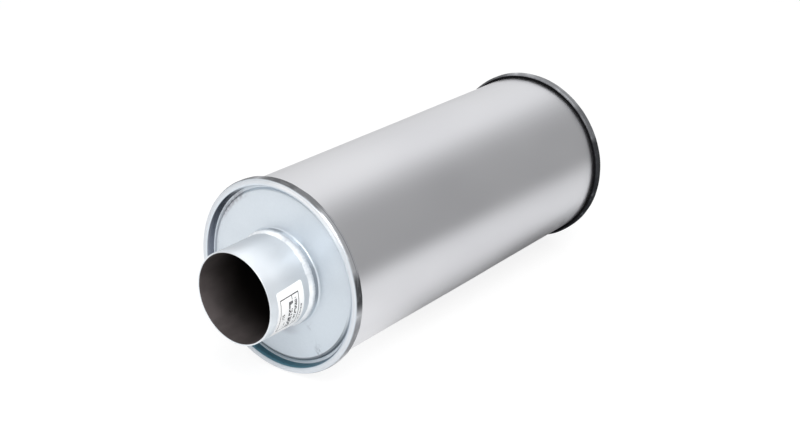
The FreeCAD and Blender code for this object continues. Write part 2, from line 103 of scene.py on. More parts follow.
# Pipes and the fillet welds round them
PIPE_WALL = 0.0015
MOUTH_EDGE = 0.0003
WELD_LEG = 0.0059
WELD_RISE = 0.0019
WELD_CROWN = 0.009
WELD_SINK = 0.0004
RIPPLES = 96
RIPPLE_RISE = 1.004

# The bead along the shell's underside
BEAD_PITCH = 0.0024
BEAD_RIPPLE_SHARE = 0.35
BEAD_SKIN = 0.0002

# The paper label, turned up from the pipe's near side and leaning; its corners reach
# past half its height, so the strips it is cut into do too
LABEL_WIDTH = 0.0334
LABEL_HEIGHT = 0.062
LABEL_CORNER = 0.002
LABEL_SHEET = 0.00012
LABEL_TURN = 25
LABEL_SKEW = 3
LABEL_SHIFT = 0.0016
LABEL_CUT_REACH = 0.6 * LABEL_HEIGHT

# Unevenness: the length of a wave, how far it pushes the surface, and the share of it
# that is left where it is weakest
ROLLING_WAVE = 0.014
ROLLING_PUSH = 0.0004
BACK_EDGE_WAVE = 0.009
BACK_EDGE_PUSH = 0.0008
PANEL_WAVE = 0.05
PANEL_PUSH = 0.0006
SHELL_WAVE = 0.11
SHELL_PUSH = 0.0006
LUMP_WAVE = 0.005
LUMP_PUSH = 0.0009
LUMP_LEAST = 0.3
TOE_WAVE = 0.007
TOE_PUSH = 0.0022
TOE_LEAST = 0.1

# How finely the pieces are made
TURN_STEPS = 256
WELD_STEPS = 384
ARC_STEPS = 6
SHELL_RINGS = 60
BEAD_STEPS = 200
BEAD_ROWS = 12
LABEL_STRIPS = 48
SHARP_ANGLE = 40
MERGE_GAP = 1e-6


# Modelling helpers


def deselect_all():
    bpy.ops.object.select_all(action="DESELECT")


def make_active(piece):
    deselect_all()
    piece.select_set(True)
    bpy.context.view_layer.objects.active = piece


def pick(piece, test):
    """Select the points of a mesh in edit mode that pass a test of their place."""
    mesh = bmesh.from_edit_mesh(piece.data)
    for point in mesh.verts:
        point.select_set(test(point.co))
    mesh.select_flush(True)
    mesh.select_flush(False)
    bmesh.update_edit_mesh(piece.data)


def arc_between(centre, start, end):
    """Points from start to end on the shorter arc round a centre."""
    first = start - centre
    last = end - centre
    shares = [step / ARC_STEPS for step in range(ARC_STEPS + 1)]
    return [centre + first.slerp(last, share).normalized() * first.length for share in shares]


def bend_points(before, corner, after, radius):
    """Points of the round that a bend of this radius makes at a corner."""
    back = (before - corner).normalized()
    ahead = (after - corner).normalized()
    half_angle = back.angle(ahead) / 2
    setback = radius / math.tan(half_angle)
    centre = corner + (back + ahead).normalized() * radius / math.sin(half_angle)
    return arc_between(centre, corner + back * setback, corner + ahead * setback)


def rounded(corners):
    """A closed outline from corners, each a place and the radius of its bend, 0 where sharp."""
    outline = []
    for number, (place, bend) in enumerate(corners):
        if bend:
            before = corners[number - 1][0]
            after = corners[(number + 1) % len(corners)][0]
            outline += bend_points(before, place, after, bend)
        else:
            outline.append(place)
    return outline


def place_at(front, depth, radius):
    """A place on the XZ plane, from its depth behind the front or rear rim's face and its radius."""
    side = -1 if front else 1
    return Vector((side * (RIM_FACE - depth), radius))


def corners_at(front, section):
    """Corners for rounding, from rows of depth, radius and bend."""
    return [(place_at(front, depth, radius), bend) for depth, radius, bend in section]


def draw_outline(name, outline):
    """A closed line on the XZ plane, extruded from one point after another."""
    deselect_all()
    bpy.ops.mesh.primitive_plane_add(size=1)
    piece = bpy.context.object
    piece.name = name
    bpy.ops.object.mode_set(mode="EDIT")
    bpy.ops.mesh.merge(type="CENTER")
    start = outline[0]
    bpy.ops.transform.translate(value=(start.x, 0, start.y))
    for here, there in zip(outline, outline[1:] + [start]):
        step = there - here
        bpy.ops.mesh.extrude_region_move(
            TRANSFORM_OT_translate={"value": (step.x, 0, step.y)}
        )
    bpy.ops.mesh.select_all(action="SELECT")
    bpy.ops.mesh.remove_doubles(threshold=MERGE_GAP)
    return piece


def turn_outline(name, outline, steps=TURN_STEPS):
    """A turned piece: a closed outline of places along the axis and radii, spun round it."""
    piece = draw_outline(name, outline)
    bpy.ops.mesh.select_all(action="SELECT")
    bpy.ops.mesh.spin(steps=steps, angle=math.tau, center=(0, 0, 0), axis=(1, 0, 0))
    bpy.ops.mesh.select_all(action="SELECT")
    bpy.ops.mesh.remove_doubles(threshold=MERGE_GAP)
    bpy.ops.mesh.normals_make_consistent(inside=False)
    bpy.ops.object.mode_set(mode="OBJECT")
    return piece


def apply_modifier(piece, kind, **settings):
    """Give a piece a modifier with these settings, and apply it."""
    make_active(piece)
    bpy.ops.object.modifier_add(type=kind)
    added = piece.modifiers[-1]
    for name, value in settings.items():
        setattr(added, name, value)
    bpy.ops.object.modifier_apply(modifier=added.name)


def weigh(piece, name, weight):
    """A vertex group whose weights, from 0 to 1, are worked out from each point's place."""
    group = piece.vertex_groups.new(name=name)
    for point in piece.data.vertices:
        group.add([point.index], min(1, max(0, weight(point.co))), "REPLACE")
    return name


def uneven(piece, label, weight, wave, push, direction="NORMAL", level=0.5):
    """Push a surface in and out by soft noise of this wave, where it is weighed."""
    clouds = bpy.data.textures.new(f"{piece.name}_{label}", "CLOUDS")
    clouds.noise_scale = wave
    clouds.noise_depth = 1
    apply_modifier(
        piece,
        "DISPLACE",
        texture=clouds,
        texture_coords="LOCAL",
        vertex_group=weigh(piece, label, weight),
        direction=direction,
        mid_level=level,
        strength=push,
    )


def radius_of(point):
    return math.hypot(point.y, point.z)


def depth_of(point):
    """Distance behind the nearer rim's face."""
    return RIM_FACE - abs(point.x)


def finish_piece(piece, node):
    """Smooth shading, and the piece stands for its node and rides on the body."""
    make_active(piece)
    bpy.ops.object.shade_smooth_by_angle(angle=math.radians(SHARP_ANGLE))
    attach(piece, "root")
    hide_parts(node)
    return piece


# Pieces of the resonator


def end_plate(name, node, front):
    """The pressed disc with its neck, panel, recess and rolled rim, hook and all."""
    neck_inside = PIPE_RADIUS + NECK_PLAY
    neck_outside = neck_inside + END_SHEET
    shoulder_foot = RECESS_RADIUS - GROOVE_WIDTH
    shoulder_top = shoulder_foot - SHOULDER_RUN
    panel_back = PANEL_DEPTH + END_SHEET
    groove_back = GROOVE_DEPTH + END_SHEET
    section = [
        (NECK_LIP_DEPTH, neck_inside, 0),
        (NECK_LIP_DEPTH, neck_outside, 0),
        (PANEL_DEPTH, neck_outside, NECK_BEND),
        (PANEL_DEPTH, shoulder_top, SHOULDER_BEND),
        (GROOVE_DEPTH, shoulder_foot, 0),
        (GROOVE_DEPTH, RECESS_RADIUS, RECESS_BEND),
        (0, RECESS_RADIUS, FACE_BEND),
        (0, RIM_RADIUS, FACE_BEND),
        (SEAM_DEPTH, RIM_RADIUS, BACK_BEND),
        (SEAM_DEPTH, END_HOOK_INSIDE, 0),
        (END_HOOK_TIP, END_HOOK_INSIDE, 0),
        (END_HOOK_TIP, END_HOOK_OUTSIDE, 0),
        (END_FOLD_FLOOR, END_HOOK_OUTSIDE, 0),
        (END_FOLD_FLOOR, RIM_WALL_INSIDE, 0),
        (END_SHEET, RIM_WALL_INSIDE, FACE_BEND - END_SHEET),
        (END_SHEET, RECESS_WALL_OUTSIDE, FACE_BEND - END_SHEET),
        (groove_back, RECESS_WALL_OUTSIDE, 0),
        (groove_back, shoulder_foot, 0),
        (panel_back, shoulder_top, 0),
        (panel_back, neck_inside, NECK_BEND + END_SHEET),
    ]

    def on_rolled_side(point):
        return (radius_of(point) - RIM_WALL_INSIDE) * 2 / END_SHEET

    def at_back_edge(point):
        on_seam = radius_of(point) > END_HOOK_INSIDE - LAYER_PLAY
        return on_seam * (depth_of(point) - SEAM_DEPTH + BACK_BEND) / BACK_BEND

    def on_panel(point):
        inside_shoulder = (shoulder_top - SHOULDER_BEND - radius_of(point)) / NECK_BEND
        return inside_shoulder * (radius_of(point) > neck_outside + NECK_BEND)

    piece = turn_outline(name, rounded(corners_at(front, section)))
    uneven(piece, "rolled_side", on_rolled_side, ROLLING_WAVE, ROLLING_PUSH, level=1)
    uneven(piece, "back_edge", at_back_edge, BACK_EDGE_WAVE, BACK_EDGE_PUSH, direction="X")
    uneven(piece, "pressed_panel", on_panel, PANEL_WAVE, PANEL_PUSH, direction="X")
    return finish_piece(piece, node)


def shell_wrap():
    """The outer sheet, each end folded out and back into the rim seams."""
    folds = [
        (OUTER_FOLD_TOP, SHELL_INSIDE, FOLD_BEND),
        (OUTER_FOLD_TOP, OUTER_HOOK_OUTSIDE, FOLD_BEND),
        (WRAP_HOOK_TIP, OUTER_HOOK_OUTSIDE, 0),
        (WRAP_HOOK_TIP, OUTER_HOOK_INSIDE, 0),
        (OUTER_FOLD_FLOOR, OUTER_HOOK_INSIDE, 0),
        (OUTER_FOLD_FLOOR, SHELL_RADIUS, 0),
    ]
    front_end = corners_at(True, folds)
    rear_end = corners_at(False, reversed(folds))
    start, end = front_end[-1][0], rear_end[0][0]
    wall = [(start.lerp(end, ring / SHELL_RINGS), 0) for ring in range(1, SHELL_RINGS)]

    def on_wall(point):
        behind_seam = (depth_of(point) - SEAM_DEPTH) / SEAM_DEPTH
        return behind_seam * (radius_of(point) > SHELL_INSIDE + LAYER_PLAY)

    piece = turn_outline("shell_wrap", rounded(front_end + wall + rear_end))
    uneven(piece, "rolled_wall", on_wall, SHELL_WAVE, SHELL_PUSH)
    return finish_piece(piece, "outer_wrap")


def end_pipe(name, node, front):
    """Plain tube, its mouth deburred."""
    bore = PIPE_RADIUS - PIPE_WALL
    section = [
        (MOUTH_DEPTH + MOUTH_EDGE, bore),
        (MOUTH_DEPTH, bore + MOUTH_EDGE),
        (MOUTH_DEPTH, PIPE_RADIUS - MOUTH_EDGE),
        (MOUTH_DEPTH + MOUTH_EDGE, PIPE_RADIUS),
        (PIPE_END_DEPTH, PIPE_RADIUS),
        (PIPE_END_DEPTH, bore),
    ]
    piece = turn_outline(name, [place_at(front, *corner) for corner in section])
    return finish_piece(piece, node)


def neck_weld(name, node, front):
    """Fillet weld between the neck's lip and the pipe, run in short ripples."""
    root_radius = PIPE_RADIUS - WELD_SINK
    toe = Vector((NECK_LIP_DEPTH - WELD_LEG, PIPE_RADIUS))
    top = Vector((NECK_LIP_DEPTH, PIPE_RADIUS + WELD_RISE))
    chord = top - toe
    inward = Vector((chord.y, -chord.x)).normalized()
    drop = math.sqrt(WELD_CROWN**2 - (chord.length / 2) ** 2)
    face = arc_between(toe + chord / 2 + inward * drop, toe, top)
    section = [(toe.x, root_radius), *face, (top.x, root_radius)]
    ripple_angle = math.tau / RIPPLES

    def on_ripple(point):
        turned = math.atan2(point.y, point.z) % ripple_angle
        return radius_of(point) > PIPE_RADIUS + NECK_PLAY and turned < ripple_angle / 2

    def on_face(point):
        return (radius_of(point) - PIPE_RADIUS) / WELD_RISE + LUMP_LEAST

    def at_toe(point):
        return -depth_of(point) / WELD_LEG + TOE_LEAST

    piece = turn_outline(name, [place_at(front, *corner) for corner in section], WELD_STEPS)
    make_active(piece)
    bpy.ops.object.mode_set(mode="EDIT")
    pick(piece, on_ripple)
    bpy.ops.transform.resize(value=(1, RIPPLE_RISE, RIPPLE_RISE), center_override=(0, 0, 0))
    bpy.ops.object.mode_set(mode="OBJECT")
    uneven(piece, "lumps", on_face, LUMP_WAVE, LUMP_PUSH)
    uneven(piece, "toe", at_toe, TOE_WAVE, TOE_PUSH, direction="X")
    return finish_piece(piece, node)


def wrap_bead():
    """The shell's lengthwise weld along the underside, crowned and run in bowed ripples."""
    half_width = bead_high.y
    edge_level = math.sqrt(SHELL_RADIUS**2 - half_width**2)
    crown = -bead_low.z - edge_level
    deselect_all()
    bpy.ops.mesh.primitive_grid_add(
        x_subdivisions=BEAD_STEPS, y_subdivisions=BEAD_ROWS, size=1, location=(0, 0, 0)
    )
    piece = bpy.context.object
    piece.name = "wrap_bead"
    bpy.ops.object.mode_set(mode="EDIT")
    bpy.ops.mesh.select_all(action="SELECT")
    bpy.ops.transform.resize(value=(bead_high.x - bead_low.x, 2 * half_width, 1))
    bpy.ops.transform.translate(value=(0, 0, -edge_level))
    bpy.ops.object.mode_set(mode="OBJECT")
    for point in piece.data.vertices:
        bow = (point.co.y / half_width) ** 2
        ripple = (point.co.x + BEAD_PITCH * bow) % BEAD_PITCH / BEAD_PITCH
        point.co.z -= crown * (1 - bow) * (1 - BEAD_RIPPLE_SHARE * ripple)
    apply_modifier(piece, "SOLIDIFY", thickness=BEAD_SKIN, offset=1)
    return finish_piece(piece, "wrap_seam_weld")


def pipe_label(pipe):
    """A paper label with round corners, laid over the pipe's side."""
    deselect_all()
    bpy.ops.mesh.primitive_plane_add(size=1, calc_uvs=True)
    piece = bpy.context.object
    piece.name = "paper_label"
    bpy.ops.object.mode_set(mode="EDIT")
    bpy.ops.mesh.select_all(action="SELECT")
    bpy.ops.transform.resize(value=(LABEL_WIDTH, LABEL_HEIGHT, 1))
    bpy.ops.mesh.bevel(offset=LABEL_CORNER, segments=ARC_STEPS, affect="VERTICES")
    bpy.ops.object.mode_set(mode="OBJECT")
    # Stand it up beside the pipe with its face outwards, and lean it
    piece.rotation_euler = (math.radians(90), math.radians(-LABEL_SKEW), 0)
    middle = (label_low.x + label_high.x) / 2 - LABEL_SHIFT
    piece.location = (middle, -2 * PIPE_RADIUS, 0)
    bpy.ops.object.transform_apply(location=True, rotation=True, scale=True)
    # Cut it into strips that can follow the round, and press it on
    bpy.ops.object.mode_set(mode="EDIT")
    for strip in range(1, LABEL_STRIPS):
        bpy.ops.mesh.select_all(action="SELECT")
        level = LABEL_CUT_REACH * (2 * strip / LABEL_STRIPS - 1)
        bpy.ops.mesh.bisect(plane_co=(0, 0, level), plane_no=(0, 0, 1))
    bpy.ops.object.mode_set(mode="OBJECT")
    apply_modifier(
        piece,
        "SHRINKWRAP",
        target=pipe,
        wrap_method="PROJECT",
        use_project_y=True,
        use_positive_direction=True,
        use_negative_direction=False,
    )
    apply_modifier(piece, "SOLIDIFY", thickness=LABEL_SHEET, offset=1)
    piece.rotation_euler = (math.radians(LABEL_TURN), 0, 0)
    bpy.ops.object.transform_apply(location=True, rotation=True, scale=True)
    return finish_piece(piece, "pipe_label")


inlet_tube = end_pipe("inlet_tube", "inlet_pipe", True)
pieces = {
    "shell": shell_wrap(),
    "front_plate": end_plate("front_plate", "front_end_plate", True),
    "rear_plate": end_plate("rear_plate", "rear_end_plate", False),
    "inlet": inlet_tube,
    "outlet": end_pipe("outlet_tube", "outlet_pipe", False),
    "inlet_bead": neck_weld("inlet_bead", "inlet_weld", True),
    "outlet_bead": neck_weld("outlet_bead", "outlet_weld", False),
    "wrap_bead": wrap_bead(),
    "label": pipe_label(inlet_tube),
}


# Node helpers


def feed(tree, socket, value):
    """Link an output to a socket, or set the socket's own value."""
    if isinstance(value, bpy.types.NodeSocket):
        tree.links.new(value, socket)
    else:
        socket.default_value = value


def add_node(tree, kind, inputs=None, **settings):
    """A new node; each input is given a value or the output that feeds it."""
    made = tree.nodes.new(kind)
    for name, value in settings.items():
        setattr(made, name, value)
    for name, value in (inputs or {}).items():
        feed(tree, made.inputs[name], value)
    return made


def calc(tree, operation, *values):
    """The output of a maths node."""
    made = add_node(tree, "ShaderNodeMath", dict(enumerate(values)), operation=operation)
    return made.outputs[0]


def scaled(tree, share, amount):
    return calc(tree, "MULTIPLY", share, amount)


def joined(tree, operation, shares):
    """Several shares taken together by a maths node, one after another."""
    total = shares[0]
    for share in shares[1:]:
        total = calc(tree, operation, total, share)
    return total


def all_of(tree, *shares):
    """The product of several shares."""
    return joined(tree, "MULTIPLY", shares)


def most_of(tree, *shares):
    """The largest of several shares."""
    return joined(tree, "MAXIMUM", shares)


def less(tree, share, amount):
    """1, less this amount of a share."""
    return calc(tree, "MULTIPLY_ADD", share, -amount, 1.0)


def ramp(tree, value, low, high, start=0.0, end=1.0):
    """A smooth step from start to end as a value goes from low to high."""
    made = add_node(
        tree,
        "ShaderNodeMapRange",
        {"Value": value, "From Min": low, "From Max": high, "To Min": start, "To Max": end},
        interpolation_type="SMOOTHSTEP",
    )
    return made.outputs["Result"]


def blend_numbers(tree, share, first, second):
    return add_node(tree, "ShaderNodeMix", {0: share, 2: first, 3: second}).outputs[0]


def blend_colours(tree, share, first, second):
    """A mix of two colours, each a triple or an output."""
    made = add_node(tree, "ShaderNodeMix", {0: share}, data_type="RGBA")
    for number, colour in ((6, first), (7, second)):
        if isinstance(colour, tuple):
            colour = (*colour, 1)
        feed(tree, made.inputs[number], colour)
    return made.outputs[2]


def laid_over(tree, under, tone, share, amount):
    """A colour with a tone laid over it, where a share shows and by this amount."""
    return blend_colours(tree, scaled(tree, share, amount), under, tone)


def own_place(tree):
    """Object coordinates, which on every piece are the part's own."""
    return add_node(tree, "ShaderNodeTexCoord").outputs["Object"]


def axes_of(tree, vector):
    return add_node(tree, "ShaderNodeSeparateXYZ", {0: vector}).outputs


def distance_along(tree, vector, way):
    """How far a place lies along a direction."""
    made = add_node(tree, "ShaderNodeVectorMath", {0: vector, 1: way}, operation="DOT_PRODUCT")
    return made.outputs["Value"]


def stretched_place(tree, along, across):
    """Object coordinates scaled along the axis and across it."""
    scale = add_node(tree, "ShaderNodeCombineXYZ", {0: along, 1: across, 2: across})
    made = add_node(
        tree,
        "ShaderNodeVectorMath",
        {0: own_place(tree), 1: scale.outputs[0]},
        operation="MULTIPLY",
    )
    return made.outputs[0]


def noise(tree, vector, detail=2.0, rough=0.5):
    made = add_node(
        tree,
        "ShaderNodeTexNoise",
        {"Vector": vector, "Scale": 1.0, "Detail": detail, "Roughness": rough},
    )
    return made.outputs["Fac"]


# Shared effects

PATCH_EDGE = 0.16
STREAK_LOW = 0.46
STREAK_HIGH = 0.62
ROW_SEED = 517.0


def start_effect(name, inputs, output):
    """An empty node group with number inputs and one number output."""
    group = bpy.data.node_groups.new(name, "ShaderNodeTree")
    for label, value in inputs.items():
        socket = group.interface.new_socket(
            label, in_out="INPUT", socket_type="NodeSocketFloat"
        )
        socket.default_value = value
    group.interface.new_socket(output, in_out="OUTPUT", socket_type="NodeSocketFloat")
    given = group.nodes.new("NodeGroupInput").outputs
    result = group.nodes.new("NodeGroupOutput").inputs[output]
    return group, given, result


def turned_band_effect():
    """1 inside a ring-shaped zone: between two radii and two depths behind the rims."""
    inputs = {"Inside": 0.0, "Outside": 0.1, "From": 0.0, "To": 0.2, "Soft": 0.0002}
    group, given, mask = start_effect("turned_band", inputs, "Mask")
    axes = axes_of(group, own_place(group))
    squares = [calc(group, "MULTIPLY", axes[name], axes[name]) for name in ("Y", "Z")]
    radius = calc(group, "SQRT", calc(group, "ADD", *squares))
    depth = calc(group, "SUBTRACT", RIM_FACE, calc(group, "ABSOLUTE", axes["X"]))
    steps = []
    for value, low, high in ((radius, "Inside", "Outside"), (depth, "From", "To")):
        for edge, start, end in ((given[low], 0.0, 1.0), (given[high], 1.0, 0.0)):
            before = calc(group, "SUBTRACT", edge, given["Soft"])
            after = calc(group, "ADD", edge, given["Soft"])
            steps.append(ramp(group, value, before, after, start, end))
    feed(group, mask, all_of(group, *steps))
    return group


def sheet_grain_effect():
    """Soft variation over a sheet, stretched along or round it, from 0 to 1."""
    inputs = {"Along": 10.0, "Across": 10.0, "Detail": 2.0, "Low": 0.35, "High": 0.65}
    group, given, value = start_effect("sheet_grain", inputs, "Value")
    vector = stretched_place(group, given["Along"], given["Across"])
    grain = noise(group, vector, given["Detail"])
    feed(group, value, ramp(group, grain, given["Low"], given["High"]))
    return group


def scuffs_effect():
    """Rubbed marks: fine streaks that show only in patches."""
    inputs = {"Along": 200.0, "Across": 60.0, "Patch": 20.0, "Amount": 0.5}
    group, given, mask = start_effect("scuffs", inputs, "Mask")
    streak_place = stretched_place(group, given["Along"], given["Across"])
    streaks = noise(group, streak_place, detail=4.0, rough=0.6)
    patches = noise(group, stretched_place(group, given["Patch"], given["Patch"]))
    threshold = calc(group, "SUBTRACT", 1.0, given["Amount"])
    shown = ramp(group, patches, threshold, calc(group, "ADD", threshold, PATCH_EDGE))
    feed(group, mask, all_of(group, ramp(group, streaks, STREAK_LOW, STREAK_HIGH), shown))
    return group


def side_share_effect():
    """1 round a place on the circumference, in degrees from the near side up to the top."""
    inputs = {"Middle": 0.0, "Reach": 20.0, "Fade": 15.0}
    group, given, mask = start_effect("side_share", inputs, "Mask")
    axes = axes_of(group, own_place(group))
    outward = calc(group, "MULTIPLY", axes["Y"], -1.0)
    angle = calc(group, "DEGREES", calc(group, "ARCTAN2", axes["Z"], outward))
    away = calc(group, "ABSOLUTE", calc(group, "SUBTRACT", angle, given["Middle"]))
    far = calc(group, "ADD", given["Reach"], given["Fade"])
    feed(group, mask, ramp(group, away, given["Reach"], far, 1.0, 0.0))
    return group


def dash_row_effect():
    """A row of dashes of uneven length on a label, in the label's own flat coordinates."""
    inputs = {
        "Row": 0.5,
        "Half width": 0.02,
        "From": 0.1,
        "To": 0.9,
        "Pitch": 60.0,
        "Fill": 0.7,
    }
    group, given, mask = start_effect("dash_row", inputs, "Mask")
    axes = axes_of(group, add_node(group, "ShaderNodeTexCoord").outputs["UV"])
    aside = calc(group, "ABSOLUTE", calc(group, "SUBTRACT", axes["X"], given["Row"]))
    on_row = calc(group, "LESS_THAN", aside, given["Half width"])
    started = calc(group, "GREATER_THAN", axes["Y"], given["From"])
    not_ended = calc(group, "LESS_THAN", axes["Y"], given["To"])
    cell = calc(group, "FLOOR", calc(group, "MULTIPLY", axes["Y"], given["Pitch"]))
    seed = calc(group, "ADD", cell, calc(group, "MULTIPLY", given["Row"], ROW_SEED))
    chance = add_node(group, "ShaderNodeTexWhiteNoise", {"W": seed}, noise_dimensions="1D")
    inked = calc(group, "LESS_THAN", chance.outputs["Value"], given["Fill"])
    feed(group, mask, all_of(group, on_row, inked, started, not_ended))
    return group


EFFECTS = {
    "turned_band": turned_band_effect(),
    "sheet_grain": sheet_grain_effect(),
    "scuffs": scuffs_effect(),
    "side_share": side_share_effect(),
    "dash_row": dash_row_effect(),
}


def effect(tree, name, **values):
    """A shared effect with its own values; a space in an input's name is an underscore here."""
    made = tree.nodes.new("ShaderNodeGroup")
    made.node_tree = EFFECTS[name]
    for label, value in values.items():
        made.inputs[label.replace("_", " ")].default_value = value
    return made.outputs[0]


def band(tree, radii, depths, soft=0.0002):
    """The zone of a turned piece between two radii and two depths behind the rims."""
    inside, outside = radii
    start, end = depths
    return effect(
        tree, "turned_band", Inside=inside, Outside=outside, From=start, To=end, Soft=soft
    )


def stretch_share(tree, middle, reach, fade, amount=1.0):
    """A share of one stretch of the circumference, as strong as its amount."""
    share = effect(tree, "side_share", Middle=middle, Reach=reach, Fade=fade)
    return scaled(tree, share, amount)


# Finishes: colours, in pairs where a grain or a ramp mixes two

SATIN_SHEET = ((0.67, 0.673, 0.70), (0.73, 0.733, 0.755))
SMUDGE_TONE = (0.36, 0.36, 0.37)

COATING = ((0.70, 0.76, 0.82), (0.735, 0.795, 0.855))
COATING_SPECKLE = (0.67, 0.73, 0.79)
# Painted shade low down and painted light aloft, on the end plates' face
PLATE_PAINTED_SHADE_AND_LIGHT = ((0.58, 0.64, 0.69), (0.87, 0.93, 0.98))
SCUFF_TONE = (0.30, 0.33, 0.37)
CREST_TONE = (0.74, 0.755, 0.785)
# Painted highlight on the rim's crest
PAINTED_CREST_HIGHLIGHT = (0.93, 0.94, 0.96)
SMEAR_TONE = (0.34, 0.32, 0.35)
# Painted shadow on the panel below the pipe
PANEL_PAINTED_SHADOW = (0.38, 0.39, 0.44)
# Painted shade on the neck's outside
NECK_PAINTED_SHADE_TONE = (0.10, 0.11, 0.13)
# Painted shade on the lower part of the panel's shoulder
SHOULDER_PAINTED_SHADE = (0.10, 0.12, 0.14)
GROOVE_TEAL = (0.082, 0.19, 0.245)
GROOVE_SLATE = (0.036, 0.044, 0.058)
GROOVE_GREY = (0.24, 0.26, 0.31)
RIM_SIDE = ((0.53, 0.54, 0.565), (0.02, 0.021, 0.024))
CREASE_TONE = (0.006, 0.006, 0.007)

PIPE_COATING = ((0.82, 0.86, 0.90), (0.86, 0.90, 0.94))
# Painted shade on the pipe: behind its mouth towards the plate, deeper on one stretch, and over two
# stretches of its side
PIPE_PAINTED_SHADE = (0.19, 0.208, 0.226)
PIPE_DEEPER_PAINTED_SHADE = (0.14, 0.153, 0.167)
PIPE_SIDE_PAINTED_SHADE = (0.36, 0.39, 0.42)
PIPE_SCUFF = (0.5, 0.54, 0.58)
BORE_SOOT = ((0.17, 0.149, 0.148), (0.26, 0.226, 0.226))
# Painted shade deep in the bore
BORE_DEEP_PAINTED_SHADE = (0.012, 0.009, 0.008)

WELD_METAL = ((0.84, 0.865, 0.89), (0.91, 0.93, 0.95))
# Darker tone on the weld: towards the neck's lip, and as painted shade on one stretch
WELD_DARK_TONE = (0.42, 0.45, 0.49)
INNER_SHEET = ((0.16, 0.145, 0.135), (0.25, 0.24, 0.23))
GLASS_FIBRE = ((0.62, 0.58, 0.46), (0.88, 0.86, 0.78))
STEEL_WOOL = ((0.12, 0.12, 0.125), (0.45, 0.45, 0.46))
PAPER = ((0.93, 0.93, 0.93), (0.96, 0.96, 0.96))
INK = (0.018, 0.018, 0.02)

# Where the finishes change; a zone reaches past the edge of its surface by the spare
ZONE_SPARE = 0.001
FACE_DEPTHS = (-2 * ZONE_SPARE, ZONE_SPARE)
PRESSING_DEPTHS = (-2 * ZONE_SPARE, 0.02)
ALL_DEPTHS = (-1.0, 1.0)
BELOW_AXIS = -0.01
UNDER_FACE = 0.0002
SMUDGE_PLACE = (0.176, -0.069, -0.058)
SMUDGE_REACH = 0.034
# The way towards the painted light on the end plates' face, how far it reaches and how much of it
# shows
LIT_WAY = (0, 0.5, 0.85)
LIT_REACH = 0.06
LIT_SHARE = 0.35
PIPE_SHADOW_WIDTH = 0.012
SHOULDER_ROUND_INSIDE = RECESS_RADIUS - GROOVE_WIDTH - SHOULDER_RUN - 0.0022
SHOULDER_ROUND = 0.0042
RIM_SIDE_RADII = (RIM_RADIUS - 2 * BACK_BEND, RIM_RADIUS + ZONE_SPARE)
FOLD_LINE_DEPTHS = (SEAM_DEPTH - 0.0036, SEAM_DEPTH - 0.0024)
PIPE_SHADE_START = 0.027
PIPE_SHADE_FADE = 0.017
PIPE_SHADE_END = 0.1
BORE_SHADE_DEPTH = 0.03

# Darkening round the rims and the neck: middle, reach and fade in degrees, and amount. On the rims it
# is rubbed wear and painted shade together, on the neck painted shade.
FRONT_RIM_WEAR_AND_SHADE = [
    (-22, 8, 10, 0.45),
    (6.5, 5.5, 10, 0.92),
    (28, 8, 12, 0.2),
    (68, 8, 9, 0.64),
    (86, 8, 12, 0.78),
    (121, 11, 12, 0.58),
]
REAR_RIM_WEAR_AND_SHADE = [
    (-42, 38, 14, 1),
    (0, 20, 16, 0.97),
    (30, 14, 14, 0.74),
    (55, 6, 12, 0.46),
    (76, 6, 12, 0.5),
    (126, 16, 12, 0.75),
]
NECK_SHADE_STRETCHES = [(10, 14, 28, 0.66), (42, 9, 16, 0.58), (93, 6, 13, 0.6)]
FRONT_RUBBING = 0.27
REAR_RUBBING = 0.35
NECK_LEAST_SHADE = 0.2
FLECK_AMOUNT = 0.13
RIM_TONE_CURVE = 0.75
MATT_SPECULAR = 0.05


def new_material(name):
    """A material with a Principled surface, and its tree."""
    material = bpy.data.materials.new(name)
    material.use_nodes = True
    tree = material.node_tree
    return material, tree, tree.nodes["Principled BSDF"].inputs


def bump(tree, surface, height, distance, strength):
    made = add_node(
        tree,
        "ShaderNodeBump",
        {"Height": height, "Distance": distance, "Strength": strength},
    )
    feed(tree, surface["Normal"], made.outputs["Normal"])


def near_point(tree, place, reach):
    """1 at a place on the part, fading to 0 at a distance from it."""
    gap = add_node(
        tree, "ShaderNodeVectorMath", {0: own_place(tree), 1: place}, operation="DISTANCE"
    )
    return ramp(tree, gap.outputs["Value"], 0.0, reach, 1.0, 0.0)


def satin_shell_sheet():
    """Smooth rolled sheet with a satin sheen, faintly cloudy, smudged near the rear rim."""
    material, tree, surface = new_material("satin_shell_sheet")
    cloud = effect(tree, "sheet_grain", Along=7, Across=16, Detail=1, Low=0.1, High=0.9)
    smudge = all_of(
        tree,
        near_point(tree, SMUDGE_PLACE, SMUDGE_REACH),
        effect(tree, "sheet_grain", Along=90, Across=70, Detail=4, Low=0.45, High=0.6),
    )
    clean = blend_colours(tree, cloud, *SATIN_SHEET)
    colour = laid_over(tree, clean, SMUDGE_TONE, smudge, amount=0.7)
    feed(tree, surface["Base Color"], colour)
    surface["Metallic"].default_value = 1
    feed(tree, surface["Roughness"], ramp(tree, cloud, 0, 1, start=0.28, end=0.315))
    rolled = effect(tree, "sheet_grain", Along=4, Across=120, Detail=1, Low=0.2, High=0.8)
    bump(tree, surface, rolled, distance=0.00004, strength=0.3)
    return material


def coated_face(tree, cloud, speckle):
    """The pale coating, cloudy and speckled, with painted light and shade: darker low down than
    aloft.
    """
    pale = blend_colours(tree, cloud, *COATING)
    pale = laid_over(tree, pale, COATING_SPECKLE, speckle, amount=0.35)
    aloft = distance_along(tree, own_place(tree), LIT_WAY)
    lit = ramp(tree, aloft, -LIT_REACH, LIT_REACH)
    return blend_colours(tree, LIT_SHARE, pale, blend_colours(tree, lit, *PLATE_PAINTED_SHADE_AND_LIGHT))


